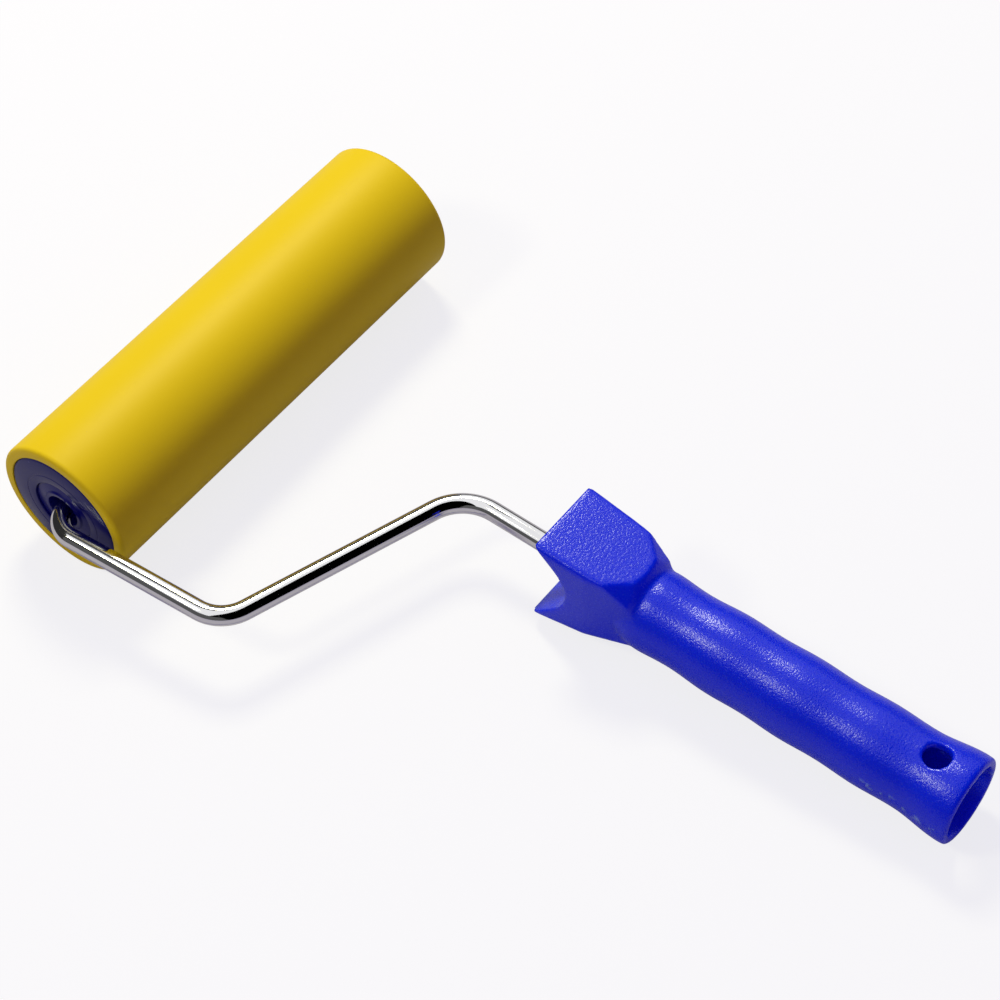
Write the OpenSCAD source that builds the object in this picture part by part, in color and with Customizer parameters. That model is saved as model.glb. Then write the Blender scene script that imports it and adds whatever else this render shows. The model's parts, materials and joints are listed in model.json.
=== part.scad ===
// Hand brayer with a rubber roller: a rubber-covered tube that turns on a bent wire frame,
// with a moulded hollow handle. Millimetres, +Z up, lying on a table as it rests there:
// the roller and the rear rim of the handle touch z = 0.
// The pieces are drawn in the tool's own plane (roller axis along X, handle towards -Y),
// and placed() tips that plane so that both ends reach the table.

/* [Roller] */
// Length of the rubber sleeve
roller_l = 150; // [110:1:250]
// Outside diameter of the rubber sleeve
roller_d = 46; // [42:0.5:60]
// Thickness of the rubber
rubber_t = 3.5; // [2.5:0.25:4.5]
// Radius of the worn-round edges of the rubber
rubber_edge_r = 1.4; // [0.5:0.1:2]
// Wall of the tube under the rubber
core_t = 2; // [1.5:0.25:3]

/* [End caps] */
// Thickness of the cap's face
cap_face_t = 2; // [1.5:0.25:3]
// How far the cap's skirt reaches into the tube
cap_skirt_l = 16; // [8:1:18]
// Wall of the cap's skirt, hub and ribs
cap_wall_t = 1.8; // [1.2:0.1:2.2]
// Chamfer round the cap's face
cap_edge = 0.9; // [0.2:0.1:1.2]
// Number of ribs behind the cap's face
cap_ribs = 8; // [4:1:12]

/* [Bearing bushes] */
// Diameter of the bush's flange, seen as the inner circle on the cap
bush_flange_d = 21; // [18:0.5:26]
// Thickness of the bush's flange
bush_flange_t = 0.9; // [0.6:0.1:1]
// How far the flange lies below the cap's face
bush_sunk = 0.6; // [0.2:0.1:0.8]
// Outside diameter of the bush's barrel
bush_d = 14; // [13.5:0.25:16]
// Length of the bush
bush_l = 21; // [14:1:24]
// Diameter of the pocket in the bush's outer end
pocket_d = 11; // [10.4:0.1:11.4]
// Depth of that pocket
pocket_l = 5; // [4.6:0.1:6]
// Running clearance round the axle, on the radius
axle_gap = 0.05; // [0.02:0.01:0.09]
// End play at each bush
end_gap = 0.15; // [0.1:0.05:0.3]

/* [Axle hardware] */
// Diameter of the washers
washer_d = 9.6; // [9:0.1:10]
// Thickness of the washers
washer_t = 0.8; // [0.5:0.1:1.2]
// Thickness of the push nut's spring steel
nut_t = 0.4; // [0.3:0.05:0.6]
// Number of teeth on the push nut
nut_teeth = 6; // [4:1:8]
// Thickness of the plug that closes the far pocket
plug_t = 1.2; // [0.8:0.1:1.4]

/* [Wire frame] */
// Diameter of the wire
wire_d = 6; // [5:0.25:6.5]
// Gap between the roller's end and the side arm, at the axle
arm_gap = 3.4; // [2.4:0.1:5]
// How far the side arm leans in on its way back
arm_lean = 4.4; // [0:0.1:5]
// From the roller's axis back to the corner of the side arm
arm_l = 62; // [45:1:90]
// How far the cross arm runs back on its way to the middle
cross_run = 26.5; // [15:0.5:45]
// From the cross arm's corner to the front of the handle
neck_l = 34; // [24:1:60]
// Bend radius of the wire's centre line where it enters the roller
bend_axle_r = 8.2; // [7:0.1:8.4]
// Bend radius at the side arm's corner
bend_arm_r = 12; // [8:0.5:20]
// Bend radius at the neck's corner
bend_neck_r = 15; // [8:0.5:24]
// Diameter of the collar that stops the roller
collar_d = 7.6; // [7.2:0.1:8.6]
// Length of that collar
collar_l = 1; // [0.6:0.1:1.4]
// How far the wire reaches past the floor of the head's notch
tang_l = 56; // [30:1:60]
// Width across the flattened ears that lock the wire in the handle
ear_w = 9; // [7.5:0.1:9.4]
// Length of the flattened ears
ear_l = 9; // [5:0.5:14]
// Thickness of the flattened ears
ear_t = 2.6; // [1.6:0.1:4]

/* [Handle grip] */
// Length of the whole handle, front lips to rear rim
handle_l = 137; // [115:1:180]
// Mean diameter of the grip
grip_d = 24.5; // [23:0.5:30]
// Height of the finger swells
swell_h = 0.2; // [0:0.05:0.6]
// Distance from one finger swell to the next
swell_pitch = 24.5; // [16:0.5:32]
// Extra depth of the waist behind the head
waist_h = 0.35; // [0:0.05:0.8]
// From the back of the head to the waist
waist_back = 13; // [8:0.5:20]
// How far the waist spreads each way
waist_spread = 11; // [6:1:16]
// Diameter of the flared rear rim
rim_d = 26.8; // [25.6:0.1:32]
// Length of the flare in front of the rim
flare_l = 17; // [10:0.5:30]
// Rounding of the rim's outer edge
rim_round = 0.9; // [0.4:0.1:1.1]

/* [Handle bore] */
// Diameter of the socket for an extension pole
socket_d = 19; // [17:0.25:19.5]
// Depth of the clear socket
socket_l = 66; // [45:1:70]
// How much narrower the ribbed hollow ahead of the socket is, on the radius
socket_step = 0.8; // [0.4:0.1:1.2]
// Diameter of the socket's mouth
mouth_d = 22; // [20:0.25:23]
// Length of the tapered lead-in at the mouth
lead_l = 7; // [4:0.5:7.5]
// Outside diameter of the tube that grips the wire
boss_d = 11.6; // [11:0.1:12.5]
// Thickness of the ribs round that tube
boss_rib_t = 2; // [1.2:0.1:3]
// Solid length behind the notch
head_solid = 14; // [8:0.5:20]
// Diameter of the hanging hole
hang_d = 8; // [5:0.2:9]
// From the rear rim to the hanging hole
hang_back = 12; // [10:0.5:20]

/* [Handle head] */
// Length of the head
head_l = 32.6; // [28:0.2:38]
// Height of the upper lip above the wire
lip_up = 18; // [15:0.2:21]
// Depth of the lower lip below the wire
lip_down = 15; // [13:0.2:18]
// How much the top face falls towards the back
top_fall = 3; // [0:0.2:4]
// How much the bottom face rises towards the back
bottom_rise = 5.4; // [0:0.2:6]
// Width of the head at the lips
head_w = 27.2; // [25.4:0.2:32]
// From the lips back to the side wall's crease
crease_back = 18; // [14:1:22]
// Width of the head at that crease
crease_w = 25.2; // [24.4:0.2:27]
// Width of the head at its back
head_back_w = 23.4; // [21:0.2:24.4]
// Rounding of the head's long edges
head_round = 1.2; // [0.4:0.1:2]
// Rounding that its lower edges reach at the back
belly_round = 7; // [2:0.5:8]
// From the lips back to where the hips start on the top edges
hip_start = 21.6; // [18:0.2:25]
// Angle between a hip's upper edge and the handle's axis
hip_splay = 41; // [34:1:50]
// Angle at which a hip falls along the side wall
hip_drop = 40; // [34:1:46]
// Angle of the cone that ends the head where it meets the grip
nape_angle = 55; // [40:1:60]
// How deep the notch's two flanks would meet
notch_v = 16.8; // [12:0.2:18]
// How far that point lies above the wire
notch_lift = 2.2; // [0:0.2:3]
// Radius of the notch's floor
notch_r = 13; // [6:0.5:15]
// Rounding of the lips
lip_r = 0.7; // [0.3:0.1:0.9]

/* [Hidden] */
$fn = 96;

eps = 0.01;
mould_gap = 0.02;
bend_swell = 0.01;

roller_r = roller_d / 2;
core_r = roller_r - rubber_t;
skirt_r = core_r - core_t;
half_l = roller_l / 2;
wire_r = wire_d / 2;
bore_r = wire_r + axle_gap;
pocket_floor = half_l - pocket_l;

arm_x = half_l + arm_gap + wire_r;
corner_x = arm_x - arm_lean;
washer_out = pocket_floor + end_gap + washer_t;
neck_y = arm_l + cross_run;
lip_y = neck_y + neck_l;
notch_half = (atan2(lip_up - notch_lift, notch_v) + atan2(lip_down + notch_lift, notch_v)) / 2;
notch_depth = notch_v - notch_r * (1 / sin(notch_half) - 1);
notch_y = lip_y + notch_depth;
rear_y = lip_y + handle_l;
tang_y = notch_y + tang_l;
axle_end = washer_out + 3 * nut_t + 0.6;

grip_r = grip_d / 2;
rim_r = rim_d / 2;
boss_r = boss_d / 2;
socket_floor = handle_l - socket_l;

// Tip of the tool's plane that brings the rear rim's rounded edge down to the table.
rim_in = rear_y - rim_round;
rim_up = rim_r - rim_round;
tip = asin((roller_r - rim_round) / norm([rim_in, rim_up])) - atan2(rim_up, rim_in);
front_y = roller_r;
back_y = -rim_in * cos(tip) - rim_up * sin(tip) - rim_round;
left_x = -arm_x - wire_r;

module placed() {
    translate([-(left_x + half_l) / 2, -(front_y + back_y) / 2, roller_r])
        rotate([tip, 0, 0])
            children();
}

// Turns a piece drawn along Z so that its +Z points along +X.
module along_x() {
    rotate([0, 90, 0]) children();
}

// Turns a piece drawn along Z so that its +Z points back along the handle.
module along_handle() {
    rotate([90, 0, 0]) children();
}

function unit(v) = v / norm(v);

// The corner at p, between a and b, as an arc of radius r in n steps.
function corner(a, p, b, r, n) =
    let (u = unit(a - p), w = unit(b - p))
    let (half = acos(max(-1, min(1, u * w))) / 2)
    let (c = p + unit(u + w) * r / sin(half))
    let (s = p + u * r / tan(half) - c, e = p + w * r / tan(half) - c)
    let (span = 180 - 2 * half, turn = sign(s.x * e.y - s.y * e.x))
    [for (i = [0 : n]) let (g = turn * span * i / n)
        c + [s.x * cos(g) - s.y * sin(g), s.x * sin(g) + s.y * cos(g)]];

// A closed outline, given as [x, y, radius] corners, with each corner rounded.
function rounded(pts, n = 5) =
    let (m = len(pts))
    [for (i = [0 : m - 1])
        let (a = pts[(i + m - 1) % m], p = pts[i], b = pts[(i + 1) % m])
        each p.z == 0
            ? [[p.x, p.y]]
            : corner([a.x, a.y], [p.x, p.y], [b.x, b.y], p.z, n)];

// ---- roller ----

module rubber_sleeve() {
    color([0.93, 0.8, 0.12])
        placed() along_x() rotate_extrude()
            polygon(rounded([
                [core_r, -half_l, 0.3], [roller_r, -half_l, rubber_edge_r],
                [roller_r, half_l, rubber_edge_r], [core_r, half_l, 0.3]
            ], 8));
}

module core_tube() {
    tube_l = roller_l - 2 * cap_face_t;
    color([0.75, 0.75, 0.72])
        placed() along_x() difference() {
            cylinder(h = tube_l, r = core_r - mould_gap, center = true);
            cylinder(h = tube_l + 2, r = skirt_r, center = true);
        }
}

// One moulded end cap, drawn with its outer face up at z = half_l.
module end_cap() {
    cap_r = core_r - mould_gap;
    skirt_out = skirt_r - mould_gap;
    face_in = half_l - cap_face_t;
    skirt_end = face_in - cap_skirt_l;
    hub_r = bush_d / 2 + cap_wall_t;
    hub_end = half_l - bush_l;
    rib_start = skirt_end + 3;
    difference() {
        union() {
            rotate_extrude()
                polygon([
                    [0, face_in], [cap_r, face_in], [cap_r, half_l - cap_edge],
                    [cap_r - cap_edge * 0.3, half_l - cap_edge * 0.3], [cap_r - cap_edge, half_l],
                    [0, half_l]
                ]);
            difference() {
                translate([0, 0, skirt_end])
                    cylinder(h = cap_skirt_l + eps, r = skirt_out);
                translate([0, 0, skirt_end - 1])
                    cylinder(h = cap_skirt_l + 1, r = skirt_out - cap_wall_t);
            }
            translate([0, 0, hub_end])
                cylinder(h = face_in - hub_end + eps, r = hub_r);
            for (i = [0 : cap_ribs - 1])
                rotate(i * 360 / cap_ribs)
                    translate([hub_r - 0.5, -cap_wall_t / 2, rib_start])
                        cube([skirt_out - cap_wall_t - hub_r + 1, cap_wall_t, face_in - rib_start + eps]);
        }
        translate([0, 0, hub_end - 1])
            cylinder(h = bush_l + 2, r = bush_d / 2);
        translate([0, 0, half_l - bush_sunk - bush_flange_t])
            cylinder(h = bush_sunk + bush_flange_t + 1, r = bush_flange_d / 2);
    }
}

// One flanged bush, drawn with its flange up; its pocket hides a washer.
module bush() {
    top = half_l - bush_sunk;
    barrel_r = bush_d / 2 - mould_gap;
    flange_r = bush_flange_d / 2 - 0.1;
    inner_end = half_l - bush_l;
    difference() {
        rotate_extrude()
            polygon([
                [0, inner_end], [barrel_r - 0.5, inner_end], [barrel_r, inner_end + 0.5],
                [barrel_r, top - bush_flange_t], [flange_r, top - bush_flange_t],
                [flange_r, top - 0.2], [flange_r - 0.2, top],
                [pocket_d / 2 + 1.6, top], [pocket_d / 2 + 1.2, half_l], [0, half_l]
            ]);
        translate([0, 0, inner_end - 1])
            cylinder(h = bush_l + 2, r = bore_r);
        translate([0, 0, pocket_floor])
            cylinder(h = pocket_l + 1, r = pocket_d / 2);
    }
}

module near_end_cap() {
    color([0.13, 0.13, 0.42])
        placed() mirror([1, 0, 0]) along_x() end_cap();
}

module far_end_cap() {
    color([0.13, 0.13, 0.42])
        placed() along_x() end_cap();
}

module near_bearing_bush() {
    color([0.17, 0.17, 0.46])
        placed() mirror([1, 0, 0]) along_x() bush();
}

module far_bearing_bush() {
    color([0.17, 0.17, 0.46])
        placed() along_x() bush();
}

// ---- axle hardware ----

module washer() {
    difference() {
        cylinder(h = washer_t, r = washer_d / 2);
        translate([0, 0, -1]) cylinder(h = washer_t + 2, r = wire_r + mould_gap);
    }
}

module near_thrust_washer() {
    color([0.8, 0.8, 0.78])
        placed() mirror([1, 0, 0]) along_x()
            translate([0, 0, pocket_floor + end_gap]) washer();
}

module far_thrust_washer() {
    color([0.8, 0.8, 0.78])
        placed() along_x()
            translate([0, 0, pocket_floor + end_gap]) washer();
}

// Star retainer: a dished spring ring whose teeth bite the end of the axle.
module push_nut() {
    nut_r = washer_d / 2 - 0.1;
    root_r = nut_r - 0.9;
    color([0.7, 0.71, 0.73])
        placed() along_x()
            translate([0, 0, washer_out])
                difference() {
                    rotate_extrude()
                        polygon([
                            [wire_r, nut_t], [root_r, 0], [nut_r, 0],
                            [nut_r, nut_t], [root_r, nut_t], [wire_r, 2 * nut_t]
                        ]);
                    for (i = [0 : nut_teeth - 1])
                        rotate(i * 360 / nut_teeth)
                            translate([0, -0.35, -1]) cube([root_r, 0.7, 4]);
                }
}

// Snap-in plug that closes the far bush's pocket.
module hub_plug() {
    plug_r = pocket_d / 2;
    color([0.13, 0.13, 0.42])
        placed() along_x()
            rotate_extrude()
                polygon([
                    [0, half_l - plug_t], [plug_r - 1.1, half_l - plug_t],
                    [plug_r - 1.1, half_l - plug_t - 1], [plug_r - 0.3, half_l - plug_t - 1],
                    [plug_r - mould_gap, half_l - plug_t - 0.7], [plug_r - mould_gap, half_l - 0.3],
                    [plug_r - 0.3, half_l], [0, half_l + 0.25]
                ]);
}

// ---- wire frame ----

// Corners of the wire's centre line, from the axle's end to the end inside the handle.
wire_path = [
    [axle_end, 0], [-arm_x, 0], [-corner_x, -arm_l], [0, -neck_y], [0, -tang_y]
];
wire_bends = [0, bend_axle_r, bend_arm_r, bend_neck_r, 0];

function turn_at(i) =
    let (u = unit(wire_path[i] - wire_path[i - 1]), w = unit(wire_path[i + 1] - wire_path[i]))
    atan2(u.x * w.y - u.y * w.x, u * w);

// How much of each leg the bend at corner i uses up.
function setback(i) = wire_bends[i] == 0 ? 0 : wire_bends[i] * tan(abs(turn_at(i)) / 2);

function heading(i) =
    let (u = wire_path[i + 1] - wire_path[i])
    atan2(u.y, u.x);

// The straight legs run a little way into the bends, which are a hair thicker than the legs.
module wire() {
    last = len(wire_path) - 1;
    lap = 0.2;
    for (i = [0 : last - 1]) {
        from = i == 0 ? 0 : setback(i) - lap;
        to = i == last - 1 ? 0 : setback(i + 1) - lap;
        leg = norm(wire_path[i + 1] - wire_path[i]) - from - to;
        translate([wire_path[i].x, wire_path[i].y, 0])
            rotate(heading(i)) along_x()
                translate([0, 0, from]) cylinder(h = leg, r = wire_r);
    }
    for (i = [1 : last - 1]) {
        side = sign(turn_at(i));
        start = wire_path[i] - setback(i) * unit(wire_path[i] - wire_path[i - 1]);
        translate([start.x, start.y, 0])
            rotate(heading(i - 1))
                translate([0, side * wire_bends[i], 0])
                    rotate(-side * 90)
                        rotate_extrude(angle = turn_at(i))
                            translate([wire_bends[i], 0]) circle(r = wire_r + bend_swell);
    }
}

// Ears pressed out of the wire inside the handle, so that it can't turn there.
module wire_ears() {
    ear_y = tang_y - 14;
    translate([0, -ear_y, -ear_t / 2])
        linear_extrude(height = ear_t)
            polygon(rounded([
                [ear_w / 2, -ear_l / 2, 1.5], [ear_w / 2, ear_l / 2, 1.5],
                [-ear_w / 2, ear_l / 2, 1.5], [-ear_w / 2, -ear_l / 2, 1.5]
            ]));
}

module frame_rod() {
    color([0.82, 0.83, 0.85])
        placed() difference() {
            union() {
                wire();
                wire_ears();
                mirror([1, 0, 0]) along_x()
                    translate([0, 0, pocket_floor + end_gap + washer_t])
                        cylinder(h = collar_l, r = collar_d / 2);
            }
            // Broken edges at both cut ends.
            translate([axle_end, 0, 0]) along_x() end_break();
            translate([0, -tang_y, 0]) along_handle() end_break();
        }
}

module end_break() {
    rotate_extrude()
        polygon([[wire_r - 0.6, 0.5], [wire_r + 0.5, -0.6], [wire_r + 0.5, 0.5]]);
}

// ---- handle ----

function smooth(t) = let (c = max(0, min(1, t))) c * c * (3 - 2 * c);

// Radius of the grip at z back from the lips: swells, a waist and the flare.
waist_z = head_l + waist_back;
function grip_at(z) =
    grip_r
    - swell_h * cos(360 * (z - waist_z) / swell_pitch)
    - waist_h * exp(-pow((z - waist_z) / waist_spread, 2))
    + (rim_r - grip_r) * smooth((z - handle_l + flare_l) / flare_l);

module grip_body() {
    step = 2;
    start = notch_depth + head_solid;
    last = handle_l - 2 * rim_round;
    rotate_extrude()
        polygon(rounded(concat(
            [[0, start, 0]],
            [for (z = [start : step : last - 0.5]) [grip_at(z), z, 0]],
            [[rim_r, last, 0], [rim_r, handle_l, rim_round], [0, handle_l, 0]]
        ), 6));
}

// Side view of the head, z back and y up: sloping faces and the fish-mouth notch.
module head_side() {
    rotate([0, -90, 0])
        linear_extrude(height = head_w + 4, center = true)
            polygon(rounded([
                [0, lip_up, lip_r], [notch_v, notch_lift, notch_r], [0, -lip_down, lip_r],
                [head_l, bottom_rise - lip_down, 0], [head_l, lip_up - top_fall, 0]
            ], 10));
}

// Plan view of the head, with the crease where each side wall turns in.
module head_plan() {
    rotate([90, 0, 0])
        linear_extrude(height = 2 * (lip_up + lip_down), center = true)
            polygon([
                [-head_w / 2, 0], [head_w / 2, 0], [crease_w / 2, crease_back],
                [head_back_w / 2, head_l], [-head_back_w / 2, head_l], [-crease_w / 2, crease_back]
            ]);
}

// One station of the block that rounds the head's long edges, just outside its faces.
module head_station(z, w, low_round) {
    skin = 0.02;
    t = z / head_l;
    right = w / 2 + skin;
    up = lip_up - top_fall * t + skin;
    down = bottom_rise * t - lip_down - skin;
    translate([0, 0, z])
        linear_extrude(height = eps)
            polygon(rounded([
                [right, up, head_round], [-right, up, head_round],
                [-right, down, low_round], [right, down, low_round]
            ], 4));
}

// All that lies under the plane of the hip on the side of positive x.
module under_hip() {
    fall = atan(top_fall / head_l);
    along_top = [-sin(hip_splay), -sin(fall), cos(hip_splay)];
    along_side = [0, -sin(hip_drop), cos(hip_drop)];
    out = unit(cross(along_top, along_side));
    size = 4 * head_l;
    translate([crease_w / 2, lip_up - top_fall * hip_start / head_l, hip_start])
        rotate([0, acos(out.z), atan2(out.y, out.x)])
            translate([-size / 2, -size / 2, -size])
                cube(size);
}

module head() {
    nape_r = grip_at(head_l) - 0.1;
    intersection() {
        head_side();
        head_plan();
        hull() {
            head_station(0, head_w, head_round);
            head_station(crease_back, crease_w, head_round);
            head_station(head_l, head_back_w, belly_round);
        }
        under_hip();
        mirror([1, 0, 0]) under_hip();
        translate([0, 0, -1])
            cylinder(h = head_l + 1, r1 = nape_r + (head_l + 1) * tan(nape_angle), r2 = nape_r);
    }
}

module handle_bore() {
    socket_r = socket_d / 2;
    hollow_r = socket_r - socket_step;
    core_start = notch_depth + head_solid;
    translate([0, 0, socket_floor])
        cylinder(h = socket_l + 1, r = socket_r);
    translate([0, 0, handle_l - lead_l])
        cylinder(h = lead_l, r1 = socket_r, r2 = mouth_d / 2);
    translate([0, 0, handle_l - eps])
        cylinder(h = 1, r = mouth_d / 2);
    difference() {
        translate([0, 0, core_start])
            cylinder(h = socket_floor - core_start + eps, r = hollow_r);
        translate([0, 0, core_start - 1])
            cylinder(h = socket_floor - core_start + 1, r = boss_r);
        for (a = [45, 135])
            rotate(a)
                translate([-hollow_r - 1, -boss_rib_t / 2, core_start - 1])
                    cube([2 * hollow_r + 2, boss_rib_t, socket_floor - core_start + 1]);
    }
    translate([0, 0, handle_l - hang_back])
        rotate([90, 0, 0]) cylinder(h = rim_d + 10, r = hang_d / 2, center = true);
}

module handle() {
    color([0.07, 0.12, 0.85])
        placed() difference() {
            translate([0, -lip_y, 0]) along_handle()
                difference() {
                    union() {
                        grip_body();
                        head();
                    }
                    handle_bore();
                }
            translate([0, -lip_y, 0]) along_handle()
                cylinder(h = notch_depth + tang_l + 0.5, r = wire_r);
            wire_ears();
        }
}

rubber_sleeve();
core_tube();
near_end_cap();
far_end_cap();
near_bearing_bush();
far_bearing_bush();
near_thrust_washer();
far_thrust_washer();
push_nut();
hub_plug();
frame_rod();
handle();
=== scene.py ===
# %% [markdown]
# # A rubber brayer, dressed in Blender
# A brayer is a hand roller that spreads ink or presses paper flat. This one has a yellow rubber roller
# with navy end caps, a bent chromed wire for its frame and a blue moulded handle.
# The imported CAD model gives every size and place. Here each visible piece is modelled again with
# smooth curves and soft edges, and gets a material with grain, wear and gloss of its own. The hidden
# ones, the tube, the washers and the push nut, keep their CAD mesh and only get a material.

# %% Load the fixed frame
import json
import math

import bmesh
import bpy
from mathutils import Matrix, Vector


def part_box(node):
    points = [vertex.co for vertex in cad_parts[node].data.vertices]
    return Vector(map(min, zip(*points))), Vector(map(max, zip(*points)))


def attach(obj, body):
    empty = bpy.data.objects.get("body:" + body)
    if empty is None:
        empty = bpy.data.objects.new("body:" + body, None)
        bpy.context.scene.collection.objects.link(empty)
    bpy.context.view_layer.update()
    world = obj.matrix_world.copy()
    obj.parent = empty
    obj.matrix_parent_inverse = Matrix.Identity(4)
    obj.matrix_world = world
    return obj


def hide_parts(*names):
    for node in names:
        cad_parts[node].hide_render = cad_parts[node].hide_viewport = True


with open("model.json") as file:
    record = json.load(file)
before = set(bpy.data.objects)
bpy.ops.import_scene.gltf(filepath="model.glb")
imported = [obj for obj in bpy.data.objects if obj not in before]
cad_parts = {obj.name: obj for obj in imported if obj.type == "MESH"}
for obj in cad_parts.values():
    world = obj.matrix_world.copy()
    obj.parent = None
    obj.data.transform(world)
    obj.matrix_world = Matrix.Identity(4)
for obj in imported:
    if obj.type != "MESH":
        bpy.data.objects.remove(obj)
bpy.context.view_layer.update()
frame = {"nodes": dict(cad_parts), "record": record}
print("CAD nodes:", ", ".join(sorted(frame["nodes"])))


# %% [markdown]
# ## The tool's own frame
# The brayer lies on its roller and on the rear rim of its handle, so the handle slopes down a little.
# It is far easier to model it flat, with the roller's axis along X and the handle along -Y, and to tip
# each finished piece into place. The slope is read from the axis of the pole socket in the record, and
# the place from the middle of the roller, so nothing has to be fitted by eye.

# %% Where the flat tool goes
mounts = {m["name"]: m for m in frame["record"]["mounts"]}
slope = math.asin(-mounts["pole_socket"]["axis"][2])
roller_low, roller_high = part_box("rubber_sleeve")
roller_middle = (roller_low + roller_high) / 2
TO_PLACE = Matrix.Translation(roller_middle) @ Matrix.Rotation(slope, 4, "X")
print("slope %.3f degrees, roller's middle at %s" % (math.degrees(slope), tuple(roller_middle)))


# %% [markdown]
# ## The camera
# The photograph looks down on the tool from its near left corner, with a long lens. The place and the
# three angles below come from matching the edges of the CAD model to those of the photograph.

# %% Camera
CAMERA_AT = (-0.371945, -0.300264, 0.645723)
CAMERA_TURN = math.radians(-49.913)
CAMERA_RISE = math.radians(51.507)
CAMERA_ROLL = math.radians(-3.281)
CAMERA_LENS = 99.691

camera_data = bpy.data.cameras.new("product_camera")
camera_data.lens = CAMERA_LENS
camera_data.sensor_width = 36
camera = bpy.data.objects.new("product_camera", camera_data)
bpy.context.scene.collection.objects.link(camera)
looking = (
    Matrix.Rotation(CAMERA_TURN, 4, "Z")
    @ Matrix.Rotation(math.pi / 2 - CAMERA_RISE, 4, "X")
    @ Matrix.Rotation(CAMERA_ROLL, 4, "Z")
)
camera.matrix_world = Matrix.Translation(CAMERA_AT) @ looking
bpy.context.scene.camera = camera
print("camera %.3f m from the roller" % (Vector(CAMERA_AT) - roller_middle).length)


# %% [markdown]
# ## Small helpers for modelling
# Blender's operators act on whatever is selected. These few helpers keep that under control: one
# object alone is made active, edit mode starts with nothing selected, and edges or corners are then
# picked by where they are. Two things nearer than NEAR count as being in one place.

# %% Helpers: selecting and editing
NEAR = 0.00001


def only(piece):
    """Selects this piece alone."""
    bpy.ops.object.select_all(action="DESELECT")
    piece.select_set(True)
    bpy.context.view_layer.objects.active = piece


def start_edit(piece, kind="FACE"):
    only(piece)
    bpy.ops.object.mode_set(mode="EDIT")
    bpy.ops.mesh.select_mode(type=kind)
    bpy.ops.mesh.select_all(action="DESELECT")


def end_edit():
    bpy.ops.object.mode_set(mode="OBJECT")


def pick(piece, kind, wanted):
    """Selects the vertices or edges whose middle passes the test."""
    net = bmesh.from_edit_mesh(piece.data)
    net.select_mode = {kind}
    for part in list(net.verts) + list(net.edges) + list(net.faces):
        part.select_set(False)
    for part in net.verts if kind == "VERT" else net.edges:
        middle = part.co if kind == "VERT" else (part.verts[0].co + part.verts[1].co) / 2
        if wanted(middle):
            part.select_set(True)
    net.select_flush_mode()
    bmesh.update_edit_mesh(piece.data)


def newest(name):
    """The object that an operator has just made, under a name of its own."""
    piece = bpy.context.active_object
    piece.name = name
    piece.data.name = name
    return piece


def settle(name):
    """Names the newest object and moves its place and turn into its mesh."""
    piece = newest(name)
    only(piece)
    bpy.ops.object.transform_apply(location=True, rotation=True, scale=True)
    return piece


def report(piece):
    size = piece.dimensions * 1000
    print("%s: %d faces, %.1f x %.1f x %.1f mm" % (piece.name, len(piece.data.polygons), *size))


# %% [markdown]
# ## Drawing an outline and turning it
# Most of this tool is round. A turned piece starts as one vertex that is extruded from point to point
# along its outline, and Spin sweeps that line round an axis, just as a lathe does. A closed outline
# gives a ring; one that starts and ends on the axis gives a solid. Cuts and joins are exact booleans.
# Those can leave slivers thinner than a hair, so each is followed by a clean-up of the mesh.

# %% Helpers: outlines, turning, booleans
def draw(name, points, closed=False):
    """A line of vertices through the points, made by extruding one vertex again and again."""
    bpy.ops.object.select_all(action="DESELECT")
    bpy.ops.mesh.primitive_plane_add(size=0.001, location=(0, 0, 0))
    piece = newest(name)
    start_edit(piece, "VERT")
    bpy.ops.mesh.select_all(action="SELECT")
    bpy.ops.mesh.merge(type="CENTER")
    bpy.ops.transform.translate(value=points[0])
    for here, there in zip(points, points[1:]):
        step = Vector(there) - Vector(here)
        bpy.ops.mesh.extrude_vertices_move(TRANSFORM_OT_translate={"value": step})
    if closed:
        bpy.ops.mesh.select_all(action="SELECT")
        bpy.ops.mesh.edge_face_add()
    end_edit()
    return piece


def turn(piece, axis, steps):
    """Sweeps the drawn line once round the axis through the origin, and closes seam and poles."""
    start_edit(piece, "VERT")
    bpy.ops.mesh.select_all(action="SELECT")
    bpy.ops.mesh.delete(type="ONLY_FACE")
    bpy.ops.mesh.select_all(action="SELECT")
    bpy.ops.mesh.spin(steps=steps, angle=2 * math.pi, center=(0, 0, 0), axis=axis)
    tidy(piece)


def tidy(piece):
    """Merges what lies on top of itself and points every face outwards; leaves edit mode."""
    bpy.ops.mesh.select_all(action="SELECT")
    bpy.ops.mesh.remove_doubles(threshold=NEAR)
    bpy.ops.mesh.select_all(action="SELECT")
    bpy.ops.mesh.normals_make_consistent(inside=False)
    end_edit()


def shape_with(piece, tool, how):
    """Cuts, joins or trims the piece with another one, which is used up, and clears its slivers."""
    modifier = piece.modifiers.new(how.lower(), "BOOLEAN")
    modifier.operation = how
    modifier.solver = "EXACT"
    modifier.object = tool
    only(piece)
    bpy.ops.object.modifier_apply(modifier=modifier.name)
    bpy.data.objects.remove(tool, do_unlink=True)
    start_edit(piece)
    bpy.ops.mesh.select_all(action="SELECT")
    bpy.ops.mesh.dissolve_degenerate(threshold=NEAR)
    tidy(piece)


def block(name, size, place):
    """A box of the given size, moved and turned by the matrix."""
    bpy.ops.object.select_all(action="DESELECT")
    bpy.ops.mesh.primitive_cube_add(size=1)
    made = newest(name)
    made.data.transform(place @ Matrix.Diagonal((*size, 1)))
    return made


def far_copy(piece, name):
    """The same moulding turned end for end, for the far end of the roller."""
    other = piece.copy()
    other.data = piece.data.copy()
    other.name = name
    bpy.context.scene.collection.objects.link(other)
    other.data.transform(Matrix.Rotation(math.pi, 4, "Z"))
    return other


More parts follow.
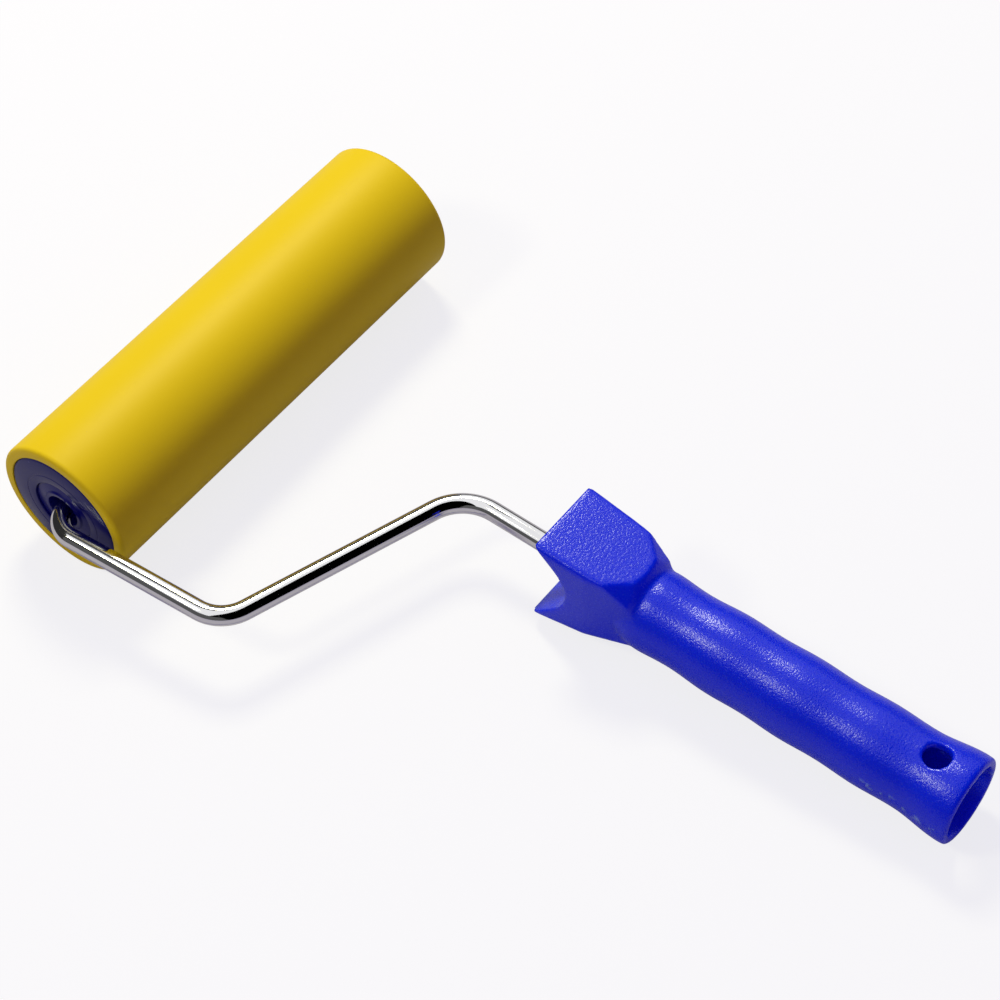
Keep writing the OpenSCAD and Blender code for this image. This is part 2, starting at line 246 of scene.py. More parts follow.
def put_in_place(piece, angle):
    """Tips a flat-drawn piece into the frame, with its place in its mesh, and shades it smooth."""
    only(piece)
    bpy.ops.object.transform_apply(location=True, rotation=True, scale=True)
    piece.data.transform(TO_PLACE)
    bpy.ops.object.shade_smooth_by_angle(angle=math.radians(angle))
    report(piece)


# %% [markdown]
# ## The rubber cover
# A sleeve of yellow rubber, 3.5 mm thick, is moulded on a stiff tube and ground true. Its outer edges
# are rounded so that they leave no line on the work, and at each end the rubber shows as a bright ring
# round the cap. A closed outline of the wall, turned on the roller's axis, gives all of it in one piece
# with soft edges.

# %% Rubber cover
ROLLER_HALF = 0.075
ROLLER_R = 0.023
RUBBER_T = 0.0035
RUBBER_EDGE = 0.0014
INNER_EDGE = 0.0003


def arc(centre_x, centre_r, radius, start, end, steps):
    """Points of an arc in an outline: x along the axis, r away from it, angles in degrees."""
    points = []
    for i in range(steps + 1):
        a = math.radians(start + (end - start) * i / steps)
        points.append((centre_x + radius * math.cos(a), centre_r + radius * math.sin(a)))
    return points


def rubber_outline():
    inner = ROLLER_R - RUBBER_T
    edge_x = ROLLER_HALF - RUBBER_EDGE
    face_x = ROLLER_HALF - INNER_EDGE
    outer = [(x, ROLLER_R) for x in (-0.06, -0.03, 0, 0.03, 0.06)]
    right = arc(edge_x, ROLLER_R - RUBBER_EDGE, RUBBER_EDGE, 90, 0, 8)
    right += arc(face_x, inner + INNER_EDGE, INNER_EDGE, 0, -90, 4)
    left = arc(-face_x, inner + INNER_EDGE, INNER_EDGE, -90, -180, 4)
    left += arc(-edge_x, ROLLER_R - RUBBER_EDGE, RUBBER_EDGE, 180, 90, 8)
    return outer + right + left


rubber_cover = draw("rubber_cover", [(x, 0, r) for x, r in rubber_outline()], closed=True)
turn(rubber_cover, (1, 0, 0), 192)
put_in_place(rubber_cover, 40)
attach(rubber_cover, "roller")
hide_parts("rubber_sleeve")


# %% [markdown]
# ## The end caps
# Each cap is a navy moulding that snaps into the tube: a flat face, a skirt that grips the tube, a hub
# for the bush, and eight ribs that tie hub and skirt together behind the face. The round part is
# turned from one outline, with a hair-fine groove in its face. A rib is a thin bar, turned about the
# axis eight times and joined on. The far cap comes from the same mould, so it is a copy.

# %% End caps
CORE_R = 0.01948
SKIRT_R = 0.01748
CAP_FACE = 0.002
CAP_WALL = 0.0018
CAP_EDGE = 0.0009
SKIRT_L = 0.016
HUB_R = 0.0088
BUSH_R = 0.007
BUSH_L = 0.021
FLANGE_R = 0.0105
FLANGE_SEAT = 0.0015
SEAT_EDGE = 0.0003
GROOVE_IN_R = 0.0131
GROOVE_OUT_R = 0.0137
GROOVE_DEPTH = 0.00008
GROOVE_SIDE = 0.0001
SKIRT_EDGE = 0.0006
RIBS = 8
RIB_FROM_END = 0.003
RIB_SUNK = 0.0005

face_in = ROLLER_HALF - CAP_FACE
skirt_end = face_in - SKIRT_L
cap_outline = [
    (ROLLER_HALF - FLANGE_SEAT, BUSH_R),
    (ROLLER_HALF - FLANGE_SEAT, FLANGE_R),
    (ROLLER_HALF - SEAT_EDGE, FLANGE_R),
    (ROLLER_HALF - GROOVE_DEPTH, FLANGE_R + GROOVE_DEPTH),
    (ROLLER_HALF, FLANGE_R + SEAT_EDGE),
    (ROLLER_HALF, GROOVE_IN_R),
    (ROLLER_HALF - GROOVE_DEPTH, GROOVE_IN_R + GROOVE_SIDE),
    (ROLLER_HALF - GROOVE_DEPTH, GROOVE_OUT_R - GROOVE_SIDE),
    (ROLLER_HALF, GROOVE_OUT_R),
    (ROLLER_HALF, CORE_R - CAP_EDGE),
    (ROLLER_HALF - CAP_EDGE * 0.12, CORE_R - CAP_EDGE * 0.62),
    (ROLLER_HALF - CAP_EDGE * 0.38, CORE_R - CAP_EDGE * 0.25),
    (ROLLER_HALF - CAP_EDGE, CORE_R),
    (face_in, CORE_R),
    (face_in, SKIRT_R),
    (skirt_end + SKIRT_EDGE, SKIRT_R),
    (skirt_end, SKIRT_R - SKIRT_EDGE),
    (skirt_end, SKIRT_R - CAP_WALL),
    (face_in, SKIRT_R - CAP_WALL),
    (face_in, HUB_R),
    (ROLLER_HALF - BUSH_L, HUB_R),
    (ROLLER_HALF - BUSH_L, BUSH_R),
]
near_cap_moulding = draw("near_cap_moulding", [(-x, 0, r) for x, r in cap_outline], closed=True)
turn(near_cap_moulding, (1, 0, 0), 128)

rib_start = skirt_end + RIB_FROM_END
rib_end = face_in + RIB_SUNK
rib_in = HUB_R - RIB_SUNK
rib_out = SKIRT_R - CAP_WALL + RIB_SUNK
rib_middle = Matrix.Translation((-(rib_start + rib_end) / 2, 0, (rib_in + rib_out) / 2))
for i in range(RIBS):
    turned = Matrix.Rotation(math.radians(i * 360 / RIBS), 4, "X")
    rib = block("cap_rib", (rib_end - rib_start, CAP_WALL, rib_out - rib_in), turned @ rib_middle)
    shape_with(near_cap_moulding, rib, "UNION")

far_cap_moulding = far_copy(near_cap_moulding, "far_cap_moulding")
for cap, node in ((near_cap_moulding, "near_end_cap"), (far_cap_moulding, "far_end_cap")):
    put_in_place(cap, 25)
    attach(cap, "roller")
    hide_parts(node)


# %% [markdown]
# ## The bushes and the plug
# A flanged plastic bush is pressed into each cap, and the wire turns in it. Its flange is the circle in
# the middle of the cap, with a low lip round the pocket for the washer. At the far end nothing comes
# out, so a small domed plug closes the pocket. All three are turned.

# %% Bushes and plug
POCKET_R = 0.0055
POCKET_L = 0.005
AXLE_BORE_R = 0.00305
FLANGE_SUNK = 0.0006
FLANGE_T = 0.0009
FLANGE_GAP = 0.0001
MOULD_GAP = 0.00002
BARREL_EDGE = 0.0005
SOFT_EDGE = 0.0002
SOFT_MIDDLE = 0.00006
LIP_FOOT_R = POCKET_R + 0.00172
LIP_TOP_R = POCKET_R + 0.00114
flange_top = ROLLER_HALF - FLANGE_SUNK
barrel_r = BUSH_R - MOULD_GAP
flange_rim_r = FLANGE_R - FLANGE_GAP
bush_inner = ROLLER_HALF - BUSH_L
bush_outline = [
    (bush_inner, AXLE_BORE_R),
    (bush_inner, barrel_r - BARREL_EDGE),
    (bush_inner + BARREL_EDGE, barrel_r),
    (flange_top - FLANGE_T, barrel_r),
    (flange_top - FLANGE_T, flange_rim_r),
    (flange_top - SOFT_EDGE, flange_rim_r),
    (flange_top - SOFT_MIDDLE, flange_rim_r - SOFT_MIDDLE),
    (flange_top, flange_rim_r - SOFT_EDGE),
    (flange_top, LIP_FOOT_R),
    (flange_top + 0.00005, LIP_FOOT_R - 0.00012),
    (ROLLER_HALF - 0.0001, LIP_TOP_R + 0.00014),
    (ROLLER_HALF, LIP_TOP_R),
    (ROLLER_HALF, POCKET_R + SOFT_EDGE),
    (ROLLER_HALF - SOFT_MIDDLE, POCKET_R + SOFT_MIDDLE),
    (ROLLER_HALF - SOFT_EDGE, POCKET_R),
    (ROLLER_HALF - POCKET_L, POCKET_R),
    (ROLLER_HALF - POCKET_L, AXLE_BORE_R),
]
near_bush_moulding = draw("near_bush_moulding", [(-x, 0, r) for x, r in bush_outline], closed=True)
turn(near_bush_moulding, (1, 0, 0), 96)
far_bush_moulding = far_copy(near_bush_moulding, "far_bush_moulding")

PLUG_T = 0.0012
PLUG_SNAP_L = 0.001
PLUG_HOLLOW = 0.0011
PLUG_EDGE = 0.0003
plug_disc = ROLLER_HALF - PLUG_T
plug_r = POCKET_R - MOULD_GAP
plug_outline = [
    (plug_disc, 0),
    (plug_disc, POCKET_R - PLUG_HOLLOW),
    (plug_disc - PLUG_SNAP_L, POCKET_R - PLUG_HOLLOW),
    (plug_disc - PLUG_SNAP_L, POCKET_R - PLUG_EDGE),
    (plug_disc - PLUG_SNAP_L + PLUG_EDGE, plug_r),
    (ROLLER_HALF - PLUG_EDGE, plug_r),
    (ROLLER_HALF - 0.00008, POCKET_R - 0.0001),
    (ROLLER_HALF, POCKET_R - PLUG_EDGE),
    (ROLLER_HALF + 0.00012, 0.0036),
    (ROLLER_HALF + 0.00021, 0.002),
    (ROLLER_HALF + 0.00025, 0),
]
plug_moulding = draw("plug_moulding", [(x, 0, r) for x, r in plug_outline])
turn(plug_moulding, (1, 0, 0), 64)
for piece, node in (
    (near_bush_moulding, "near_bearing_bush"),
    (far_bush_moulding, "far_bearing_bush"),
    (plug_moulding, "hub_plug"),
):
    put_in_place(piece, 25)
    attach(piece, "roller")
    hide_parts(node)


# %% [markdown]
# ## The bent wire
# The whole frame is one 6 mm wire, chromed after bending: axle, side arm, cross arm and neck. It is
# made the way the real one is. A circle of the wire's size is extruded for each straight and spun
# round the centre of each bend, so that the surface runs through without a seam.

# %% Bent wire
WIRE_R = 0.003
WIRE_SIDES = 64
AXLE_END = 0.07275
ARM_X = 0.0814
CORNER_X = 0.077
ARM_L = 0.062
NECK_Y = 0.0885
TANG_Y = 0.18973
WIRE_PATH = [(AXLE_END, 0), (-ARM_X, 0), (-CORNER_X, -ARM_L), (0, -NECK_Y), (0, -TANG_Y)]
WIRE_BENDS = [0, 0.0082, 0.012, 0.015, 0]
END_BEVEL = 0.0006
BEND_STEPS = 24

corners = [Vector(p) for p in WIRE_PATH]
legs = [(b - a).normalized() for a, b in zip(corners, corners[1:])]
turns = [0] + [u.angle_signed(w) * -1 for u, w in zip(legs, legs[1:])] + [0]
setbacks = [r * math.tan(abs(t) / 2) for r, t in zip(WIRE_BENDS, turns)]
print("bends of the wire:", ["%.1f" % math.degrees(t) for t in turns[1:-1]])

bpy.ops.object.select_all(action="DESELECT")
bpy.ops.mesh.primitive_circle_add(
    vertices=WIRE_SIDES, radius=WIRE_R, fill_type="NOTHING",
    location=(AXLE_END, 0, 0), rotation=(0, math.pi / 2, 0),
)
bent_wire = settle("bent_wire")
start_edit(bent_wire, "EDGE")
bpy.ops.mesh.select_all(action="SELECT")
for i, heading in enumerate(legs):
    run = (corners[i + 1] - corners[i]).length - setbacks[i] - setbacks[i + 1]
    step = (heading.x * run, heading.y * run, 0)
    bpy.ops.mesh.extrude_region_move(TRANSFORM_OT_translate={"value": step})
    if turns[i + 1]:
        bend_start = corners[i + 1] - heading * setbacks[i + 1]
        side = math.copysign(WIRE_BENDS[i + 1], turns[i + 1])
        bend_centre = bend_start + Vector((-heading.y, heading.x)) * side
        bpy.ops.mesh.spin(
            steps=BEND_STEPS, angle=-turns[i + 1],
            center=(bend_centre.x, bend_centre.y, 0), axis=(0, 0, 1),
        )

for at_end in (lambda p: abs(p.x - AXLE_END) < NEAR, lambda p: abs(p.y + TANG_Y) < NEAR):
    pick(bent_wire, "EDGE", at_end)
    bpy.ops.mesh.edge_face_add()
tidy(bent_wire)
start_edit(bent_wire, "EDGE")
pick(bent_wire, "EDGE", lambda p: abs(p.x - AXLE_END) < NEAR or abs(p.y + TANG_Y) < NEAR)
bpy.ops.mesh.bevel(offset=END_BEVEL, segments=2, affect="EDGES")
end_edit()
report(bent_wire)


# %% [markdown]
# A collar upset on the axle stops the roller, and two ears pressed out of the neck's end keep the wire
# from turning in the handle. Both are hidden once the tool is together, so a turned ring and a
# flattened bar with rounded corners, joined to the wire, are enough.

# %% Collar and ears
COLLAR_R = 0.0038
COLLAR_FROM_POCKET = 0.00095
COLLAR_L = 0.001
COLLAR_EDGE = 0.00015
EAR_W = 0.009
EAR_L = 0.009
EAR_T = 0.0026
EAR_EDGE = 0.0015
EARS_FROM_END = 0.014
ear_middle = EARS_FROM_END - TANG_Y

collar_in = ROLLER_HALF - POCKET_L + COLLAR_FROM_POCKET
collar_out = collar_in + COLLAR_L
collar_outline = [
    (collar_in, 0),
    (collar_in, COLLAR_R - COLLAR_EDGE),
    (collar_in + COLLAR_EDGE, COLLAR_R),
    (collar_out - COLLAR_EDGE, COLLAR_R),
    (collar_out, COLLAR_R - COLLAR_EDGE),
    (collar_out, 0),
]
collar = draw("wire_collar", [(-x, 0, r) for x, r in collar_outline])
turn(collar, (1, 0, 0), WIRE_SIDES)
shape_with(bent_wire, collar, "UNION")


def ears(name, grow=0.0):
    """The flattened bar of the ears or, grown a little, the cutter for its slot."""
    size = (EAR_W + grow, EAR_L + grow, EAR_T + grow)
    bar = block(name, size, Matrix.Translation((0, ear_middle, 0)))
    start_edit(bar, "EDGE")
    pick(bar, "EDGE", lambda p: abs(abs(p.x) - size[0] / 2) < NEAR and abs(p.z) < NEAR)
    bpy.ops.mesh.bevel(offset=EAR_EDGE, segments=5, affect="EDGES")
    end_edit()
    return bar


shape_with(bent_wire, ears("wire_ears"), "UNION")
put_in_place(bent_wire, 30)
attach(bent_wire, "frame")
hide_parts("frame_rod")


# %% [markdown]
# ## The handle: its turned grip
# The handle is one hollow moulding. Its grip is almost a plain bar, with finger swells that are only
# felt, a slight waist behind the head and a flared rim at the rear. Its first part is sunk a little,
# so that the hips of the head stand proud of it. A formula gives its radius at every place along it,
# the outline is drawn through those points, and turning it makes the bar.

# %% Grip
LIP_Y = -0.1225
HANDLE_L = 0.137
HEAD_L = 0.0326
GRIP_R = 0.01225
SWELL_H = 0.0002
SWELL_PITCH = 0.0245
WAIST_H = 0.00035
WAIST_AT = HEAD_L + 0.013
WAIST_SPREAD = 0.011
REAR_RIM_R = 0.0134
FLARE_L = 0.017
RIM_ROUND = 0.0009
CORE_START = 0.0252
NOSE_IN = 0.0018
NOSE_L = 0.0115
GRIP_STEP = 0.001


def grip_radius(back):
    """Radius of the grip at a distance back from the lips."""
    swell = SWELL_H * math.cos(2 * math.pi * (back - WAIST_AT) / SWELL_PITCH)
    waist = WAIST_H * math.exp(-(((back - WAIST_AT) / WAIST_SPREAD) ** 2))
    along = min(max((back - HANDLE_L + FLARE_L) / FLARE_L, 0), 1)
    flare = (REAR_RIM_R - GRIP_R) * along * along * (3 - 2 * along)
    nose = NOSE_IN * max(1 - (back - CORE_START) / NOSE_L, 0) ** 2
    return GRIP_R - swell - waist + flare - nose


def grip_outline():
    last = HANDLE_L - 2 * RIM_ROUND
    points = [(CORE_START, 0)]
    count = int((last - CORE_START) / GRIP_STEP)
    points += [(CORE_START + i * GRIP_STEP, grip_radius(CORE_START + i * GRIP_STEP))
               for i in range(count)]
    points += [(last, REAR_RIM_R)]
    points += arc(HANDLE_L - RIM_ROUND, REAR_RIM_R - RIM_ROUND, RIM_ROUND, 90, 0, 6)
    return points + [(HANDLE_L, 0)]


handle_moulding = draw(
    "handle_moulding", [(0, LIP_Y - back, r) for back, r in grip_outline()]
)
turn(handle_moulding, (0, 1, 0), 128)
report(handle_moulding)


# %% [markdown]
# ## The handle: its head
# The head is a block that narrows and gets lower towards the grip. Three upright outlines with rounded
# corners, at the lips, at the crease in the side walls and at the back, are joined with Bridge. The
# lower corners open from a tight radius at the crease to a soft belly at the back. Then come the cuts:
# a flat one on each side that sharpens the crease, a flat one on each side for the hips behind the top
# face, a wide cone that trims the back down to the grip, and a notch across the front, rounded inside.

# %% Head block
LIP_UP = 0.018
LIP_DOWN = 0.015
TOP_FALL = 0.003
BOTTOM_RISE = 0.0054
HEAD_W = 0.0272
CREASE_BACK = 0.018
CREASE_W = 0.0252
BACK_W = 0.0234
EDGE_ROUND = 0.0018
BELLY_ROUND = 0.007
CORNER_STEPS = 8


def station(back, width, low_round):
    """One upright outline across the head, with its four corners rounded."""
    along = back / HEAD_L
    up = LIP_UP - TOP_FALL * along
    down = -LIP_DOWN + BOTTOM_RISE * along
    half = width / 2
    y = LIP_Y - back
    outline = draw("station", [(-half, y, down), (half, y, down), (half, y, up), (-half, y, up)], True)
    start_edit(outline, "VERT")
    pick(outline, "VERT", lambda p: p.z > 0)
    bpy.ops.mesh.bevel(offset=EDGE_ROUND, segments=CORNER_STEPS, affect="VERTICES")
    pick(outline, "VERT", lambda p: p.z < down + NEAR)
    bpy.ops.mesh.bevel(offset=low_round, segments=CORNER_STEPS, affect="VERTICES")
    bpy.ops.mesh.select_all(action="SELECT")
    bpy.ops.mesh.delete(type="ONLY_FACE")
    end_edit()
    return outline


stations = [
    station(0, HEAD_W, EDGE_ROUND),
    station(CREASE_BACK, CREASE_W, EDGE_ROUND),
    station(HEAD_L, BACK_W, BELLY_ROUND),
]
bpy.ops.object.select_all(action="DESELECT")
for outline in stations:
    outline.select_set(True)
bpy.context.view_layer.objects.active = stations[0]
bpy.ops.object.join()
head_block = newest("head_block")
start_edit(head_block, "EDGE")
for front in (0, CREASE_BACK):
    back = CREASE_BACK if front == 0 else HEAD_L
    pick(head_block, "EDGE",
         lambda p: abs(p.y - LIP_Y + front) < NEAR or abs(p.y - LIP_Y + back) < NEAR)
    bpy.ops.mesh.bridge_edge_loops()
for end in (0, HEAD_L):
    pick(head_block, "EDGE", lambda p: abs(p.y - LIP_Y + end) < NEAR)
    bpy.ops.mesh.edge_face_add()
tidy(head_block)
report(head_block)


# %% Hips, nape and notch
HIP_START = 0.0216
HIP_SPLAY = math.radians(41)
HIP_DROP = math.radians(40)
NAPE_ANGLE = math.radians(55)
CREASE_TURN = math.radians(9)
CREASE_LEAN = math.radians(0.3)
NOTCH_IN = 0.0168
NOTCH_LIFT = 0.0022
NOTCH_R = 0.013
NOTCH_PAST_LIPS = 1.4
CUTTER_HALF = 0.02
NAPE_SUNK = 0.0001
CLEAR = 0.001

top_slope = math.atan(TOP_FALL / HEAD_L)
for side in (1, -1):
    start_edit(head_block)
    bpy.ops.mesh.select_all(action="SELECT")
    bpy.ops.mesh.bisect(
        plane_co=(side * CREASE_W / 2, LIP_Y - CREASE_BACK, LIP_UP / 2),
        plane_no=(side * math.cos(CREASE_TURN), -math.sin(CREASE_TURN), -math.sin(CREASE_LEAN)),
        use_fill=True, clear_outer=True,
    )
    tidy(head_block)
for side in (1, -1):
    along_top = Vector((-side * math.sin(HIP_SPLAY), -math.cos(HIP_SPLAY), -math.sin(top_slope)))
    along_wall = Vector((0, -math.cos(HIP_DROP), -math.sin(HIP_DROP)))
    out = along_top.cross(along_wall).normalized() * side
    hip_at = (side * CREASE_W / 2, LIP_Y - HIP_START, LIP_UP - TOP_FALL * HIP_START / HEAD_L)
    start_edit(head_block)
    bpy.ops.mesh.select_all(action="SELECT")
    bpy.ops.mesh.bisect(plane_co=hip_at, plane_no=out, use_fill=True, clear_outer=True)
    tidy(head_block)
    print("hip plane faces", tuple(round(c, 3) for c in out))

nape_r = grip_radius(HEAD_L) - NAPE_SUNK
cone_l = HEAD_L + CLEAR
bpy.ops.object.select_all(action="DESELECT")
bpy.ops.mesh.primitive_cone_add(
    vertices=128, depth=cone_l, radius1=nape_r + cone_l * math.tan(NAPE_ANGLE), radius2=nape_r,
    location=(0, LIP_Y + CLEAR - cone_l / 2, 0), rotation=(math.pi / 2, 0, 0),
)
shape_with(head_block, settle("nape_cone"), "INTERSECT")
shape_with(handle_moulding, head_block, "UNION")

notch_tip = (-CUTTER_HALF, LIP_Y - NOTCH_IN, NOTCH_LIFT)
mouth_y = LIP_Y - NOTCH_IN * (1 - NOTCH_PAST_LIPS)
notch_mouth = [
    (-CUTTER_HALF, mouth_y, NOTCH_LIFT + (end - NOTCH_LIFT) * NOTCH_PAST_LIPS)
    for end in (LIP_UP, -LIP_DOWN)
]
notch_cutter = draw("notch_cutter", [notch_mouth[0], notch_tip, notch_mouth[1]], closed=True)
notch_half = (
    math.atan2(LIP_UP - NOTCH_LIFT, NOTCH_IN) + math.atan2(LIP_DOWN + NOTCH_LIFT, NOTCH_IN)
) / 2
start_edit(notch_cutter, "VERT")
pick(notch_cutter, "VERT", lambda p: abs(p.y - notch_tip[1]) < NEAR)
bpy.ops.mesh.bevel(offset=NOTCH_R / math.tan(notch_half), segments=24, affect="VERTICES")
bpy.ops.mesh.select_all(action="SELECT")
bpy.ops.mesh.extrude_region_move(TRANSFORM_OT_translate={"value": (2 * CUTTER_HALF, 0, 0)})
tidy(notch_cutter)
shape_with(handle_moulding, notch_cutter, "DIFFERENCE")
report(handle_moulding)


# %% [markdown]
# ## The handle: its hollow
# The handle is hollow from the rear: a socket for an extension pole, then a ribbed hollow round the
# tube that grips the wire, and a cross hole to hang it by. One cutter for each is taken away in turn.

# %% Bore, ribs and holes
SOCKET_R = 0.0095
SOCKET_L = 0.066
HOLLOW_R = 0.0087
MOUTH_R = 0.011
LEAD_L = 0.007
BOSS_R = 0.0058
BOSS_RIB = 0.002
HANG_R = 0.004
HANG_BACK = 0.012
HOLE_GAP = 0.00003
OVERLAP = 0.0005
socket_floor = HANDLE_L - SOCKET_L


def rod(name, radius, start, end, sides=96):
    """A plain round bar along the handle, used only to cut with."""
    bpy.ops.object.select_all(action="DESELECT")
    bpy.ops.mesh.primitive_cylinder_add(
        vertices=sides, radius=radius, depth=end - start,
        location=(0, LIP_Y - (start + end) / 2, 0), rotation=(math.pi / 2, 0, 0),
    )
    return settle(name)


socket_outline = [
    (socket_floor, 0), (socket_floor, SOCKET_R), (HANDLE_L - LEAD_L, SOCKET_R),
    (HANDLE_L, MOUTH_R), (HANDLE_L + CLEAR, MOUTH_R), (HANDLE_L + CLEAR, 0),
]
socket_cutter = draw("socket_cutter", [(0, LIP_Y - back, r) for back, r in socket_outline])
turn(socket_cutter, (0, 1, 0), 96)
shape_with(handle_moulding, socket_cutter, "DIFFERENCE")

hollow_cutter = rod("hollow_cutter", HOLLOW_R, CORE_START, socket_floor + OVERLAP)
shape_with(hollow_cutter, rod("boss", BOSS_R, CORE_START - CLEAR, socket_floor), "DIFFERENCE")
web_size = (2 * CUTTER_HALF, socket_floor - CORE_START + CLEAR, BOSS_RIB)
web_middle = Matrix.Translation((0, LIP_Y - (CORE_START + socket_floor) / 2 + OVERLAP, 0))
for diagonal in (45, 135):
    web = block("boss_rib", web_size, Matrix.Rotation(math.radians(diagonal), 4, "Y") @ web_middle)
    shape_with(hollow_cutter, web, "DIFFERENCE")
shape_with(handle_moulding, hollow_cutter, "DIFFERENCE")

wire_hole = rod("wire_hole", WIRE_R + HOLE_GAP, -CLEAR, LIP_Y + TANG_Y + OVERLAP, WIRE_SIDES)
shape_with(handle_moulding, wire_hole, "DIFFERENCE")
shape_with(handle_moulding, ears("ear_slot", 2 * HOLE_GAP), "DIFFERENCE")

bpy.ops.object.select_all(action="DESELECT")
bpy.ops.mesh.primitive_cylinder_add(
    vertices=96, radius=HANG_R, depth=2 * CUTTER_HALF,
    location=(0, LIP_Y - HANDLE_L + HANG_BACK, 0),
)
shape_with(handle_moulding, settle("hang_cutter"), "DIFFERENCE")
report(handle_moulding)


# %% [markdown]
# A moulding has no sharp edges, and this one has too many odd ones to bevel by name. So the finished
# shape is remeshed into even squares of half a millimetre, and a few passes of smoothing melt its
# edges to a radius of about as much, the way a real mould rounds them. A remesh can leak through the
# smallest gap and lose most of a shape, and it does so without a word. So the volume is compared
# before and after. If they differ by a twentieth, a slightly different grid is tried, and when none
# of them holds the shape, the script stops with an error.

# %% Even skin and soft edges
SKIN = 0.0005
SKIN_TRIES = (1, 1.04, 0.96)
KEPT_LOW = 0.95
KEPT_HIGH = 1.05
MELT_PASSES = 8


def volume(mesh):
    """The volume inside a closed mesh, in cubic metres."""
    made = bmesh.new()
    made.from_mesh(mesh)
    size = made.calc_volume()
    made.free()
    return size


def even_skin(piece, voxel):
    remesh = piece.modifiers.new("even_skin", "REMESH")
    remesh.mode = "VOXEL"
    remesh.voxel_size = voxel
    remesh.use_smooth_shade = True
    melt = piece.modifiers.new("melt_edges", "SMOOTH")
    melt.factor = 0.5
    melt.iterations = MELT_PASSES
    only(piece)
    for name in ("even_skin", "melt_edges"):
        bpy.ops.object.modifier_apply(modifier=name)


sharp_mesh = handle_moulding.data
sharp_volume = volume(sharp_mesh)
for share in SKIN_TRIES:
    voxel = SKIN * share
    handle_moulding.data = sharp_mesh.copy()
    even_skin(handle_moulding, voxel)
    kept = volume(handle_moulding.data) / sharp_volume
    print("voxel", voxel, "keeps", round(kept, 4), "of the volume")
    if KEPT_LOW < kept < KEPT_HIGH:
        break
else:
    raise RuntimeError("the remesh lost part of the handle with every grid")
bpy.data.meshes.remove(sharp_mesh)
put_in_place(handle_moulding, 60)
bpy.ops.object.shade_smooth()
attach(handle_moulding, "frame")
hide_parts("handle")


# %% [markdown]
# ## Materials: a few shared effects
# Colours are written as they look on a screen, 0 to 255, and changed to Blender's linear values. The
# effects below, grain, tone, scratches, dust and the mould's parting line, are built once as node
# groups, and each material places them with its own sizes. A group gives only values and colours; the
# shader stays outside.

# %% Colour and group helpers
def paint(red, green, blue):
    """A screen colour, 0 to 255, as linear values."""
    def linear(level):
        level /= 255
        return level / 12.92 if level <= 0.04045 else ((level + 0.055) / 1.055) ** 2.4
    return (linear(red), linear(green), linear(blue), 1)


def new_group(name, inputs, outputs):
    group = bpy.data.node_groups.new(name, "ShaderNodeTree")
    for label, kind, value in inputs:
        socket = group.interface.new_socket(name=label, in_out="INPUT", socket_type=kind)
        if value is not None:
            socket.default_value = value
    for label, kind in outputs:
        group.interface.new_socket(name=label, in_out="OUTPUT", socket_type=kind)
    print("group %s: %d inputs, %d outputs" % (name, len(inputs), len(outputs)))
    return group, group.nodes.new("NodeGroupInput"), group.nodes.new("NodeGroupOutput")


def node(tree, kind, **settings):
    """A new node; a setting goes to the input of that name or, if there is none, to the node."""
    made = tree.nodes.new(kind)
    for key, value in settings.items():
        if key in made.inputs:
            made.inputs[key].default_value = value
        else:
            setattr(made, key, value)
    return made


def maths(tree, operation, second=None):
    """One step of arithmetic; its second value may be a fixed number."""
    made = node(tree, "ShaderNodeMath", operation=operation)
    if second is not None:
        made.inputs[1].default_value = second
    return made


def noise(tree, **settings):
    return node(tree, "ShaderNodeTexNoise", **settings)


def join(tree, wires):
    """Draws the links; each wire is a node and its output, then a node and its input."""
    for start, output, end, entry in wires:
        tree.links.new(start.outputs[output], end.inputs[entry])


def ramp(tree, low=0.0, high=1.0, first=0.0, last=1.0):
    """Stretches the range low to high over first to last."""
    made = tree.nodes.new("ShaderNodeMapRange")
    made.inputs["From Min"].default_value = low
    made.inputs["From Max"].default_value = high
    made.inputs["To Min"].default_value = first
    made.inputs["To Max"].default_value = last
    return made


VECTOR, FLOAT, COLOUR = "NodeSocketVector", "NodeSocketFloat", "NodeSocketColor"


# %% Group: moulded grain
def build_grain():
    """Height of a fine moulded texture, two sizes of noise mixed."""
    group, given, result = new_group(
        "moulded_grain",
        [("Vector", VECTOR, None), ("Scale", FLOAT, 2500.0), ("Coarse", FLOAT, 0.4)],
        [("Height", FLOAT), ("Speckle", FLOAT)],
    )
    fine = noise(group, Detail=2.0, Roughness=0.6)
    coarse = noise(group, Detail=1.0)
    part = maths(group, "MULTIPLY", 0.3)
    mix = node(group, "ShaderNodeMix", data_type="FLOAT")
    sharp = ramp(group, 0.5, 0.72)
    join(group, [
        (given, "Vector", fine, "Vector"), (given, "Vector", coarse, "Vector"),
        (given, "Scale", fine, "Scale"), (given, "Scale", part, 0), (part, 0, coarse, "Scale"),
        (given, "Coarse", mix, 0), (fine, "Fac", mix, 2), (coarse, "Fac", mix, 3),
        (mix, 0, result, "Height"), (mix, 0, sharp, "Value"), (sharp, "Result", result, "Speckle"),
    ])
    return group


